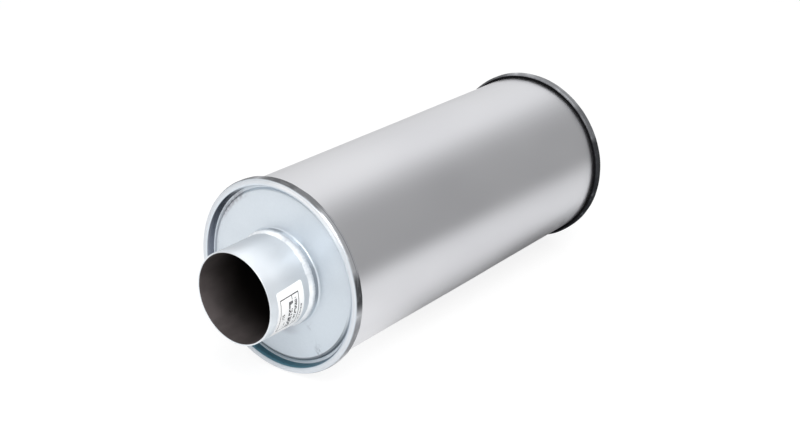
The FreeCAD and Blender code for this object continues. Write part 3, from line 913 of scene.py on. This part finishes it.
def face_scuffs(tree):
    marks = effect(tree, "scuffs", Along=300, Across=240, Patch=38, Amount=0.34)
    return all_of(tree, marks, band(tree, (PIPE_RADIUS, RECESS_RADIUS), PRESSING_DEPTHS))


def with_crest(tree, colour):
    """The rim's face, greyer than the plate, with a painted highlight above the near side."""
    radii = (RECESS_RADIUS + FACE_BEND, RIM_RADIUS - FACE_BEND / 2)
    crest = band(tree, radii, FACE_DEPTHS, soft=0.0012)
    painted_highlight = all_of(tree, crest, stretch_share(tree, middle=64, reach=18, fade=15, amount=0.85))
    colour = laid_over(tree, colour, CREST_TONE, crest, amount=0.7)
    return blend_colours(tree, painted_highlight, colour, PAINTED_CREST_HIGHLIGHT)


def with_smear(tree, colour):
    """A grey smear over the panel's shoulder and the recess, on the far side of the top."""
    radii = (SHOULDER_ROUND_INSIDE - ZONE_SPARE, RECESS_RADIUS)
    smear = all_of(
        tree,
        band(tree, radii, (UNDER_FACE, GROOVE_DEPTH + ZONE_SPARE), soft=0.0022),
        effect(tree, "side_share", Middle=134, Reach=7, Fade=13),
        effect(tree, "sheet_grain", Along=120, Across=210, Detail=2, Low=0.3, High=0.6),
    )
    return laid_over(tree, colour, SMEAR_TONE, smear, amount=0.62)


def with_painted_pipe_shadow(tree, colour):
    """Painted shadow: a soft dark patch on the panel below the pipe."""
    radii = (PIPE_RADIUS, PIPE_RADIUS + PIPE_SHADOW_WIDTH)
    depths = (PANEL_DEPTH - ZONE_SPARE, PANEL_DEPTH + ZONE_SPARE)
    below = effect(tree, "side_share", Middle=-92, Reach=8, Fade=22)
    blotch = all_of(tree, band(tree, radii, depths, soft=0.003), below)
    return laid_over(tree, colour, PANEL_PAINTED_SHADOW, blotch, amount=0.75)


def with_neck(tree, colour):
    """The neck's outside with painted shade, all round and most on a few stretches."""
    radii = (PIPE_RADIUS + NECK_PLAY, PIPE_RADIUS + END_SHEET + NECK_BEND)
    depths = (NECK_LIP_DEPTH, PANEL_DEPTH - NECK_BEND / 2)
    neck = band(tree, radii, depths, soft=0.0003)
    dark = most_of(tree, *(stretch_share(tree, *mark) for mark in NECK_SHADE_STRETCHES), NECK_LEAST_SHADE)
    return blend_colours(tree, all_of(tree, neck, dark), colour, NECK_PAINTED_SHADE_TONE)


def with_low_shoulder(tree, colour):
    """The panel's shoulder, with painted shade round the lower part."""
    radii = (SHOULDER_ROUND_INSIDE, SHOULDER_ROUND_INSIDE + SHOULDER_ROUND)
    depths = (PANEL_DEPTH - ZONE_SPARE, GROOVE_DEPTH - RECESS_BEND / 2)
    low_side = effect(tree, "side_share", Middle=-85, Reach=48, Fade=30)
    shoulder = all_of(tree, band(tree, radii, depths, soft=0.0005), low_side)
    return laid_over(tree, colour, SHOULDER_PAINTED_SHADE, shoulder, amount=0.75)


def groove_colour(tree):
    """Dark tones in the recess: slate above, paler to the side, blue-green at the bottom."""
    height = axes_of(tree, own_place(tree))["Z"]
    upper = ramp(tree, height, 0, RIM_RADIUS * 2 / 3)
    lower = ramp(tree, height, -RECESS_RADIUS, -RIM_RADIUS / 2, 1, 0)
    side = blend_colours(tree, upper, GROOVE_GREY, GROOVE_SLATE)
    return blend_colours(tree, lower, side, GROOVE_TEAL)


def with_groove(tree, colour):
    """The recess wall, whose dark tones fade out above the near side."""
    radii = (RECESS_RADIUS - RECESS_BEND / 2, RECESS_RADIUS + FACE_BEND / 2)
    groove = band(tree, radii, (UNDER_FACE, GROOVE_DEPTH - RECESS_BEND / 2), soft=0.0004)
    fading = effect(tree, "side_share", Middle=45, Reach=66, Fade=22)
    shown = all_of(tree, groove, less(tree, fading, amount=0.8))
    return blend_colours(tree, shown, colour, groove_colour(tree))


def rim_side_tone(tree):
    """How dark the rolled side is, from rubbed wear and painted shade together: nearly black low on
    the near side, patchy above.
    """
    rubbed = effect(tree, "scuffs", Along=170, Across=55, Patch=24, Amount=0.62)
    front, rear = (
        most_of(
            tree, *(stretch_share(tree, *mark) for mark in marks), scaled(tree, rubbed, rubbing)
        )
        for marks, rubbing in (
            (FRONT_RIM_WEAR_AND_SHADE, FRONT_RUBBING),
            (REAR_RIM_WEAR_AND_SHADE, REAR_RUBBING),
        )
    )
    at_rear = calc(tree, "GREATER_THAN", axes_of(tree, own_place(tree))["X"], 0.0)
    flecks = effect(tree, "scuffs", Along=520, Across=130, Patch=90, Amount=0.6)
    flecks = scaled(tree, flecks, FLECK_AMOUNT)
    patchy = calc(tree, "SUBTRACT", blend_numbers(tree, at_rear, front, rear), flecks)
    fold_line = all_of(
        tree,
        band(tree, RIM_SIDE_RADII, FOLD_LINE_DEPTHS, soft=0.0004),
        stretch_share(tree, middle=46, reach=26, fade=16, amount=0.6),
    )
    return calc(tree, "POWER", most_of(tree, patchy, fold_line, 0.0), RIM_TONE_CURVE)


def aluminised_plate():
    """Pale coated sheet: dark on the rolled rim from scuffs and painted shade, dark in the recess and
    the seam's crease, with painted light, shade, shadow and a highlight elsewhere on its face.
    """
    material, tree, surface = new_material("aluminised_plate")
    cloud = effect(tree, "sheet_grain", Along=26, Across=26, Detail=3, Low=0.3, High=0.7)
    speckle = effect(tree, "sheet_grain", Along=420, Across=420, Detail=2, Low=0.3, High=0.7)
    marks = face_scuffs(tree)
    colour = coated_face(tree, cloud, speckle)
    colour = laid_over(tree, colour, SCUFF_TONE, marks, amount=0.4)
    colour = with_crest(tree, colour)
    colour = with_smear(tree, colour)
    colour = with_painted_pipe_shadow(tree, colour)
    colour = with_neck(tree, colour)
    colour = with_low_shoulder(tree, colour)
    colour = with_groove(tree, colour)

    side = band(tree, RIM_SIDE_RADII, (FACE_BEND / 3, SEAM_DEPTH + ZONE_SPARE), soft=0.0007)
    side_dark = rim_side_tone(tree)
    colour = blend_colours(tree, side, colour, blend_colours(tree, side_dark, *RIM_SIDE))
    crease_radii = (SHELL_RADIUS - ZONE_SPARE, RIM_RADIUS - 1.5 * BACK_BEND)
    crease = band(tree, crease_radii, (SEAM_DEPTH - BACK_BEND, SEAM_DEPTH + ZONE_SPARE))
    colour = blend_colours(tree, crease, colour, CREASE_TONE)
    feed(tree, surface["Base Color"], colour)

    matt = most_of(tree, all_of(tree, side, side_dark), crease)
    gleam = ramp(tree, side, 0, 1, start=0.6, end=0.9)
    feed(tree, surface["Metallic"], all_of(tree, gleam, less(tree, matt, amount=0.95)))
    surface["Specular IOR Level"].default_value = MATT_SPECULAR
    rough = ramp(tree, cloud, 0, 1, start=0.36, end=0.44)
    dull = scaled(tree, most_of(tree, marks, matt), amount=0.3)
    feed(tree, surface["Roughness"], calc(tree, "ADD", rough, dull))
    bump(tree, surface, speckle, distance=0.00005, strength=0.4)
    return material


def pipe_outside(tree, cloud):
    """Pale coated tube with painted shade behind its mouth towards the plate, deepest on one stretch,
    and over the far side of the top and low on the near side; scuffed in patches.
    """
    pale = blend_colours(tree, cloud, *PIPE_COATING)
    shaded_behind = band(
        tree,
        (PIPE_RADIUS - MOUTH_EDGE, PIPE_RADIUS + ZONE_SPARE),
        (MOUTH_DEPTH + PIPE_SHADE_START, PIPE_SHADE_END),
        soft=PIPE_SHADE_FADE,
    )
    pale = laid_over(tree, pale, PIPE_PAINTED_SHADE, shaded_behind, amount=0.95)
    deeper = all_of(tree, shaded_behind, effect(tree, "side_share", Middle=47, Reach=9, Fade=15))
    pale = laid_over(tree, pale, PIPE_DEEPER_PAINTED_SHADE, deeper, amount=0.5)
    shaded_stretch = most_of(
        tree,
        effect(tree, "side_share", Middle=106, Reach=9, Fade=20),
        effect(tree, "side_share", Middle=12, Reach=14, Fade=20),
    )
    pale = laid_over(tree, pale, PIPE_SIDE_PAINTED_SHADE, shaded_stretch, amount=0.3)
    marks = effect(tree, "scuffs", Along=60, Across=320, Patch=45, Amount=0.42)
    return laid_over(tree, pale, PIPE_SCUFF, marks, amount=0.25)


def pipe_inside(tree):
    """Brown-black soot, lightest just inside the mouth, with painted shade darkening it deeper in."""
    blotch = effect(tree, "sheet_grain", Along=25, Across=40, Detail=4, Low=0.35, High=0.65)
    dark = blend_colours(tree, blotch, *BORE_SOOT)
    near_mouth = band(
        tree,
        (BELOW_AXIS, PIPE_RADIUS),
        (ALL_DEPTHS[0], MOUTH_DEPTH + BORE_SHADE_DEPTH),
        soft=BORE_SHADE_DEPTH,
    )
    return blend_colours(tree, near_mouth, BORE_DEEP_PAINTED_SHADE, dark)


def aluminised_pipe():
    """Pale coated tube outside, bright at the deburred mouth, sooty inside."""
    material, tree, surface = new_material("aluminised_pipe")
    cloud = effect(tree, "sheet_grain", Along=18, Across=30, Detail=3, Low=0.3, High=0.7)
    bore_radii = (BELOW_AXIS, PIPE_RADIUS - PIPE_WALL + MOUTH_EDGE / 2)
    inside = band(tree, bore_radii, ALL_DEPTHS, soft=0.0001)
    colour = blend_colours(tree, inside, pipe_outside(tree, cloud), pipe_inside(tree))
    feed(tree, surface["Base Color"], colour)
    feed(tree, surface["Metallic"], ramp(tree, inside, 0, 1, start=0.45, end=0.35))
    rough = ramp(tree, cloud, 0, 1, start=0.33, end=0.4)
    rougher = scaled(tree, inside, amount=0.17)
    feed(tree, surface["Roughness"], calc(tree, "ADD", rough, rougher))
    grain = effect(tree, "sheet_grain", Along=20, Across=240, Detail=2, Low=0.2, High=0.8)
    bump(tree, surface, grain, distance=0.00003, strength=0.3)
    return material


def weld_bead():
    """Bright weld metal, darker towards the neck's lip, with painted shade on one stretch."""
    material, tree, surface = new_material("weld_bead")
    cloud = effect(tree, "sheet_grain", Along=120, Across=120, Detail=3, Low=0.3, High=0.7)
    colour = blend_colours(tree, cloud, *WELD_METAL)
    radii = (PIPE_RADIUS, PIPE_RADIUS + 2 * WELD_RISE)
    at_lip = band(tree, radii, (NECK_LIP_DEPTH - WELD_LEG / 3, SEAM_DEPTH), soft=WELD_LEG / 4)
    colour = laid_over(tree, colour, WELD_DARK_TONE, at_lip, amount=0.8)
    shaded_stretch = effect(tree, "side_share", Middle=43, Reach=24, Fade=14)
    colour = laid_over(tree, colour, WELD_DARK_TONE, shaded_stretch, amount=0.52)
    feed(tree, surface["Base Color"], colour)
    surface["Metallic"].default_value = 0.15
    feed(tree, surface["Roughness"], ramp(tree, cloud, 0, 1, start=0.38, end=0.52))
    pits = effect(tree, "sheet_grain", Along=700, Across=700, Detail=3, Low=0.3, High=0.7)
    bump(tree, surface, pits, distance=0.0001, strength=0.5)
    return material


def inner_steel():
    """Uncoated sheet inside the part, dulled and brownish."""
    material, tree, surface = new_material("inner_steel")
    cloud = effect(tree, "sheet_grain", Along=30, Across=30, Detail=4, Low=0.3, High=0.7)
    feed(tree, surface["Base Color"], blend_colours(tree, cloud, *INNER_SHEET))
    surface["Metallic"].default_value = 0.9
    feed(tree, surface["Roughness"], ramp(tree, cloud, 0, 1, start=0.42, end=0.58))
    grain = effect(tree, "sheet_grain", Along=80, Across=600, Detail=2, Low=0.2, High=0.8)
    bump(tree, surface, grain, distance=0.00003, strength=0.4)
    return material


def matted_fibre(name, colours, metallic):
    """Loose strands lying round the core."""
    material, tree, surface = new_material(name)
    strands = effect(tree, "sheet_grain", Along=900, Across=140, Detail=4, Low=0.35, High=0.65)
    feed(tree, surface["Base Color"], blend_colours(tree, strands, *colours))
    surface["Metallic"].default_value = metallic
    surface["Roughness"].default_value = 0.8
    bump(tree, surface, strands, distance=0.0006, strength=0.8)
    return material


# The label's rows of dashes, then the lines of its frame, as shares of its width and height
LABEL_ROWS = [
    {"Row": 0.432, "Half_width": 0.026, "From": 0.36, "To": 0.82, "Pitch": 88, "Fill": 0.66},
    {"Row": 0.480, "Half_width": 0.018, "From": 0.36, "To": 0.82, "Pitch": 61, "Fill": 0.60},
    {"Row": 0.528, "Half_width": 0.026, "From": 0.36, "To": 0.82, "Pitch": 77, "Fill": 0.66},
    {"Row": 0.640, "Half_width": 0.020, "From": 0.49, "To": 0.84, "Pitch": 84, "Fill": 0.66},
    {"Row": 0.684, "Half_width": 0.020, "From": 0.49, "To": 0.84, "Pitch": 71, "Fill": 0.62},
    {"Row": 0.885, "Half_width": 0.020, "From": 0.40, "To": 0.73, "Pitch": 90, "Fill": 0.58},
    {"Row": 0.185, "Half_width": 0.022, "From": 0.56, "To": 0.67, "Pitch": 80, "Fill": 0.66},
    {"Row": 0.235, "Half_width": 0.018, "From": 0.56, "To": 0.67, "Pitch": 62, "Fill": 0.66},
    {"Row": 0.300, "Half_width": 0.014, "From": 0.37, "To": 0.50, "Pitch": 90, "Fill": 0.55},
    {"Row": 0.700, "Half_width": 0.016, "From": 0.37, "To": 0.46, "Pitch": 90, "Fill": 0.55},
    {"Row": 0.095, "Half_width": 0.011, "From": 0.355, "To": 0.903, "Pitch": 1, "Fill": 2},
    {"Row": 0.785, "Half_width": 0.011, "From": 0.355, "To": 0.903, "Pitch": 1, "Fill": 2},
    {"Row": 0.535, "Half_width": 0.011, "From": 0.835, "To": 0.903, "Pitch": 1, "Fill": 2},
    {"Row": 0.440, "Half_width": 0.356, "From": 0.889, "To": 0.903, "Pitch": 1, "Fill": 2},
    {"Row": 0.440, "Half_width": 0.356, "From": 0.350, "To": 0.361, "Pitch": 1, "Fill": 2},
]


def printed_label():
    """White paper with a thin frame and rows of plain dashes."""
    material, tree, surface = new_material("printed_label")
    ink = most_of(tree, *(effect(tree, "dash_row", **row) for row in LABEL_ROWS))
    pulp = effect(tree, "sheet_grain", Along=500, Across=500, Detail=3, Low=0.3, High=0.7)
    paper = blend_colours(tree, pulp, *PAPER)
    feed(tree, surface["Base Color"], blend_colours(tree, ink, paper, INK))
    feed(tree, surface["Roughness"], ramp(tree, ink, 0, 1, start=0.5, end=0.38))
    bump(tree, surface, pulp, distance=0.00002, strength=0.3)
    return material


def paint(thing, material):
    thing.data.materials.clear()
    thing.data.materials.append(material)


plate_metal = aluminised_plate()
pipe_metal = aluminised_pipe()
bead_metal = weld_bead()
FINISHES = {
    "shell": satin_shell_sheet(),
    "front_plate": plate_metal,
    "rear_plate": plate_metal,
    "inlet": pipe_metal,
    "outlet": pipe_metal,
    "inlet_bead": bead_metal,
    "outlet_bead": bead_metal,
    "wrap_bead": bead_metal,
    "label": printed_label(),
}
for name, finish in FINISHES.items():
    paint(pieces[name], finish)

INNER_FINISHES = {
    "inner_sheet": inner_steel(),
    "glass_fibre": matted_fibre("glass_fibre", GLASS_FIBRE, metallic=0),
    "steel_wool": matted_fibre("steel_wool", STEEL_WOOL, metallic=0.8),
}
for part in frame["record"]["subparts"]:
    if part["material_slot"] in INNER_FINISHES:
        paint(frame["nodes"][part["node"]], INNER_FINISHES[part["material_slot"]])


# Floor, light and camera

FLOOR_HALF = 12
FLOOR_ALBEDO = 0.8
SEEN_WHITE = 1.12
CAMERA_SHARE = 0.75

# How bright mirrors see the floor: most beside the part's front end, half of that ahead
# of it, and little further back
MIRROR_SHARE = 0.12
FRONT_MIRROR_SHARE = 0.8
FRONT_MIRROR_FROM = -0.13
FRONT_MIRROR_TO = -0.03
AHEAD_MIRROR_SHARE = 0.5
AHEAD_MIRROR_FROM = -RIM_FACE - 0.03
AHEAD_MIRROR_TO = -RIM_FACE + 0.01

# Painted shade on the floor as mirrors see it: its tone falls off to the right of the camera, and a
# painted shadow darkens it under the part
FLOOR_FADE_WAY = (0.35, -0.937, 0)
FLOOR_FADE_FROM = 0.163
FLOOR_FADE_TO = 0.863
FLOOR_FADE_TONE = 0.56
UNDER_PART_CORE = 0.06
UNDER_PART_REACH = 0.115
UNDER_PART_PAINTED_SHADOW = 0.6
UNDER_PART_END = 0.2

STUDIO_BRIGHT = 1.07
STUDIO_DARK = 0.42
SCREEN_WAY = Vector((0.55, -0.75, 0.36))
SCREEN_EDGE = 0.48
SCREEN_CORE = 0.93
HORIZON_TONE = 0.78
HORIZON_FADE = 0.8
FRONT_TONE = 0.6
FRONT_TONE_REACH = 0.5

KEY_WAY = Vector((-0.42, -0.5, 0.75))
KEY_DISTANCE = 1.7
KEY_SIZE = 1.3
KEY_POWER = 23

# The camera's place is counted from the middle of the front rim, a little behind its face,
# in rim radii; its turns are in degrees
LENS = 61.87
NEAREST_SEEN = 0.01
CAMERA_TILT = 67.45
CAMERA_TURN = -52.41
CAMERA_FROM_RIM = Vector((-8.791, -8.258, 5.553))
LAND_DEPTH = 0.0012

WHITE = (1, 1, 1, 1)


def floor_tone(tree, place):
    """The floor's share of white as mirrors see it, with painted shade: fading sideways, and a
    painted shadow under the part's rear.
    """
    outwards = distance_along(tree, place, FLOOR_FADE_WAY)
    faded = ramp(tree, outwards, FLOOR_FADE_FROM, FLOOR_FADE_TO, 1, FLOOR_FADE_TONE)
    axes = axes_of(tree, place)
    aside = calc(tree, "ABSOLUTE", axes["Y"])
    under = ramp(tree, aside, UNDER_PART_CORE, UNDER_PART_REACH, 1, 0)
    rearwards = ramp(tree, axes["X"], -UNDER_PART_END, UNDER_PART_END, 0, UNDER_PART_PAINTED_SHADOW)
    shaded = calc(tree, "SUBTRACT", 1.0, all_of(tree, under, rearwards))
    return all_of(tree, faded, shaded)


def mirrored_share(tree, place):
    """How much of the floor's white a mirror sees, from place to place."""
    along = axes_of(tree, place)["X"]
    share = ramp(
        tree, along, FRONT_MIRROR_FROM, FRONT_MIRROR_TO, FRONT_MIRROR_SHARE, MIRROR_SHARE
    )
    ahead = ramp(tree, along, AHEAD_MIRROR_FROM, AHEAD_MIRROR_TO, AHEAD_MIRROR_SHARE, 1)
    return all_of(tree, share, ahead)


def floor():
    """A pale floor that the camera and mirrors see near white, with the part's soft shadow."""
    deselect_all()
    bpy.ops.mesh.primitive_plane_add(size=2 * FLOOR_HALF, location=(0, 0, FLOOR_LEVEL))
    ground = bpy.context.object
    ground.name = "floor"
    material = bpy.data.materials.new("pale_floor")
    material.use_nodes = True
    tree = material.node_tree
    tree.nodes.clear()
    path = add_node(tree, "ShaderNodeLightPath").outputs
    mirror = most_of(tree, path["Is Glossy Ray"], path["Is Transmission Ray"])
    place = own_place(tree)
    mirrored = all_of(tree, mirror, mirrored_share(tree, place))
    share = calc(tree, "MULTIPLY_ADD", path["Is Camera Ray"], CAMERA_SHARE, mirrored)
    tone = blend_numbers(tree, mirror, 1.0, floor_tone(tree, place))
    albedo = scaled(tree, tone, FLOOR_ALBEDO)
    grey = add_node(tree, "ShaderNodeCombineColor", {0: albedo, 1: albedo, 2: albedo})
    matt = add_node(tree, "ShaderNodeBsdfDiffuse", {"Color": grey.outputs[0]})
    bright = scaled(tree, tone, SEEN_WHITE)
    white = add_node(tree, "ShaderNodeEmission", {"Color": WHITE, "Strength": bright})
    both = add_node(
        tree,
        "ShaderNodeMixShader",
        {0: share, 1: matt.outputs[0], 2: white.outputs[0]},
    )
    add_node(tree, "ShaderNodeOutputMaterial", {"Surface": both.outputs[0]})
    paint(ground, material)


def studio():
    """Soft bright surroundings, dimmed by a grey screen low at the right of the camera."""
    world = bpy.data.worlds.new("studio")
    bpy.context.scene.world = world
    world.use_nodes = True
    tree = world.node_tree
    tree.nodes.clear()
    way = add_node(tree, "ShaderNodeTexCoord").outputs["Generated"]
    axes = axes_of(tree, way)
    wall = ramp(
        tree, axes["Z"], 0, HORIZON_FADE, HORIZON_TONE * STUDIO_BRIGHT, STUDIO_BRIGHT
    )
    front = ramp(tree, axes["X"], -FRONT_TONE_REACH, FRONT_TONE_REACH, FRONT_TONE, 1)
    wall = all_of(tree, wall, front)
    at_screen = distance_along(tree, way, SCREEN_WAY.normalized())
    screen = ramp(tree, at_screen, SCREEN_EDGE, SCREEN_CORE)
    level = blend_numbers(tree, screen, wall, STUDIO_DARK)
    path = add_node(tree, "ShaderNodeLightPath").outputs
    seen = blend_numbers(tree, path["Is Camera Ray"], level, 1.0)
    glow = add_node(tree, "ShaderNodeBackground", {"Color": WHITE, "Strength": seen})
    add_node(tree, "ShaderNodeOutputWorld", {"Surface": glow.outputs[0]})


def key_light():
    """A large soft lamp in front of the part, on the left and above the camera."""
    lamp = bpy.data.lights.new("key", "AREA")
    lamp.shape = "SQUARE"
    lamp.size = KEY_SIZE
    lamp.energy = KEY_POWER
    holder = bpy.data.objects.new("key", lamp)
    bpy.context.scene.collection.objects.link(holder)
    holder.location = KEY_WAY.normalized() * KEY_DISTANCE
    holder.rotation_euler = KEY_WAY.to_track_quat("Z", "Y").to_euler()


def camera():
    lens = bpy.data.cameras.new("camera")
    lens.lens = LENS
    lens.clip_start = NEAREST_SEEN
    holder = bpy.data.objects.new("camera", lens)
    bpy.context.scene.collection.objects.link(holder)
    land_centre = Vector((LAND_DEPTH - RIM_FACE, 0, 0))
    holder.location = land_centre + CAMERA_FROM_RIM * RIM_RADIUS
    holder.rotation_euler = (math.radians(CAMERA_TILT), 0, math.radians(CAMERA_TURN))
    bpy.context.scene.camera = holder


floor()
studio()
key_light()
camera()
bpy.context.scene.view_settings.view_transform = "Standard"

deselect_all()
